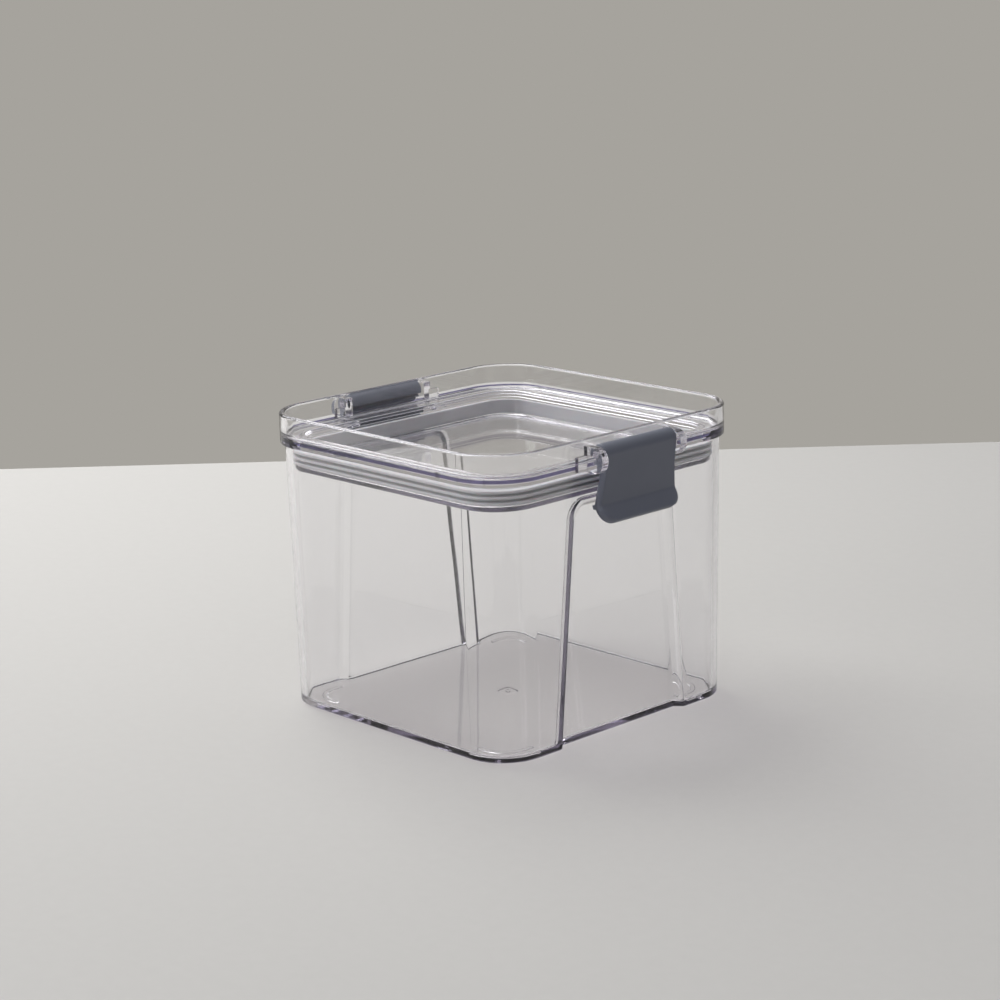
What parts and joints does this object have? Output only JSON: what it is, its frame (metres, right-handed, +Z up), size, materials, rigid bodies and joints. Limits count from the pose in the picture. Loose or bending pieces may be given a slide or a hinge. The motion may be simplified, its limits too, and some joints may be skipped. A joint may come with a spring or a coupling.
{
  "type": "storage jar",
  "caption": "Clear square pantry jar with a gasketed drop-in lid held down by flip latches that hook under the ledges of the jar's grip recesses; the lid's raised rim takes a stacked jar.",
  "frame": {"origin": "centre of the base, on the surface that the jar's feet stand on", "axes": "+Z up through the lid, +X out through the face with the right latch, +Y along that face"},
  "size_m": [0.125, 0.11, 0.0963],
  "materials": {
    "clear_plastic": "clear, polished moulding",
    "silicone": "smooth, satin",
    "latch_plastic": "slate grey, satin moulding"
  },
  "bodies": {
    "jar": {"jar": "clear_plastic"},
    "lid": {"lid": "clear_plastic", "gasket": "silicone"},
    "latch_right": {"latch_right": "latch_plastic"},
    "latch_left": {"latch_left": "latch_plastic"}
  },
  "joints": [
    {"name": "lid_lift", "type": "slide", "parent": "jar", "child": "lid", "axis": [0, 0, 1], "range_m": [0, 0.1]},
    {"name": "latch_right_hinge", "type": "hinge", "parent": "lid", "child": "latch_right", "pos_m": [0.05845, 0, 0.0919], "axis": [0, -1, 0], "range_deg": [-4.5, 130]},
    {"name": "latch_left_hinge", "type": "hinge", "parent": "lid", "child": "latch_left", "pos_m": [-0.05845, 0, 0.0919], "axis": [0, 1, 0], "range_deg": [-4.5, 130]}
  ]
}
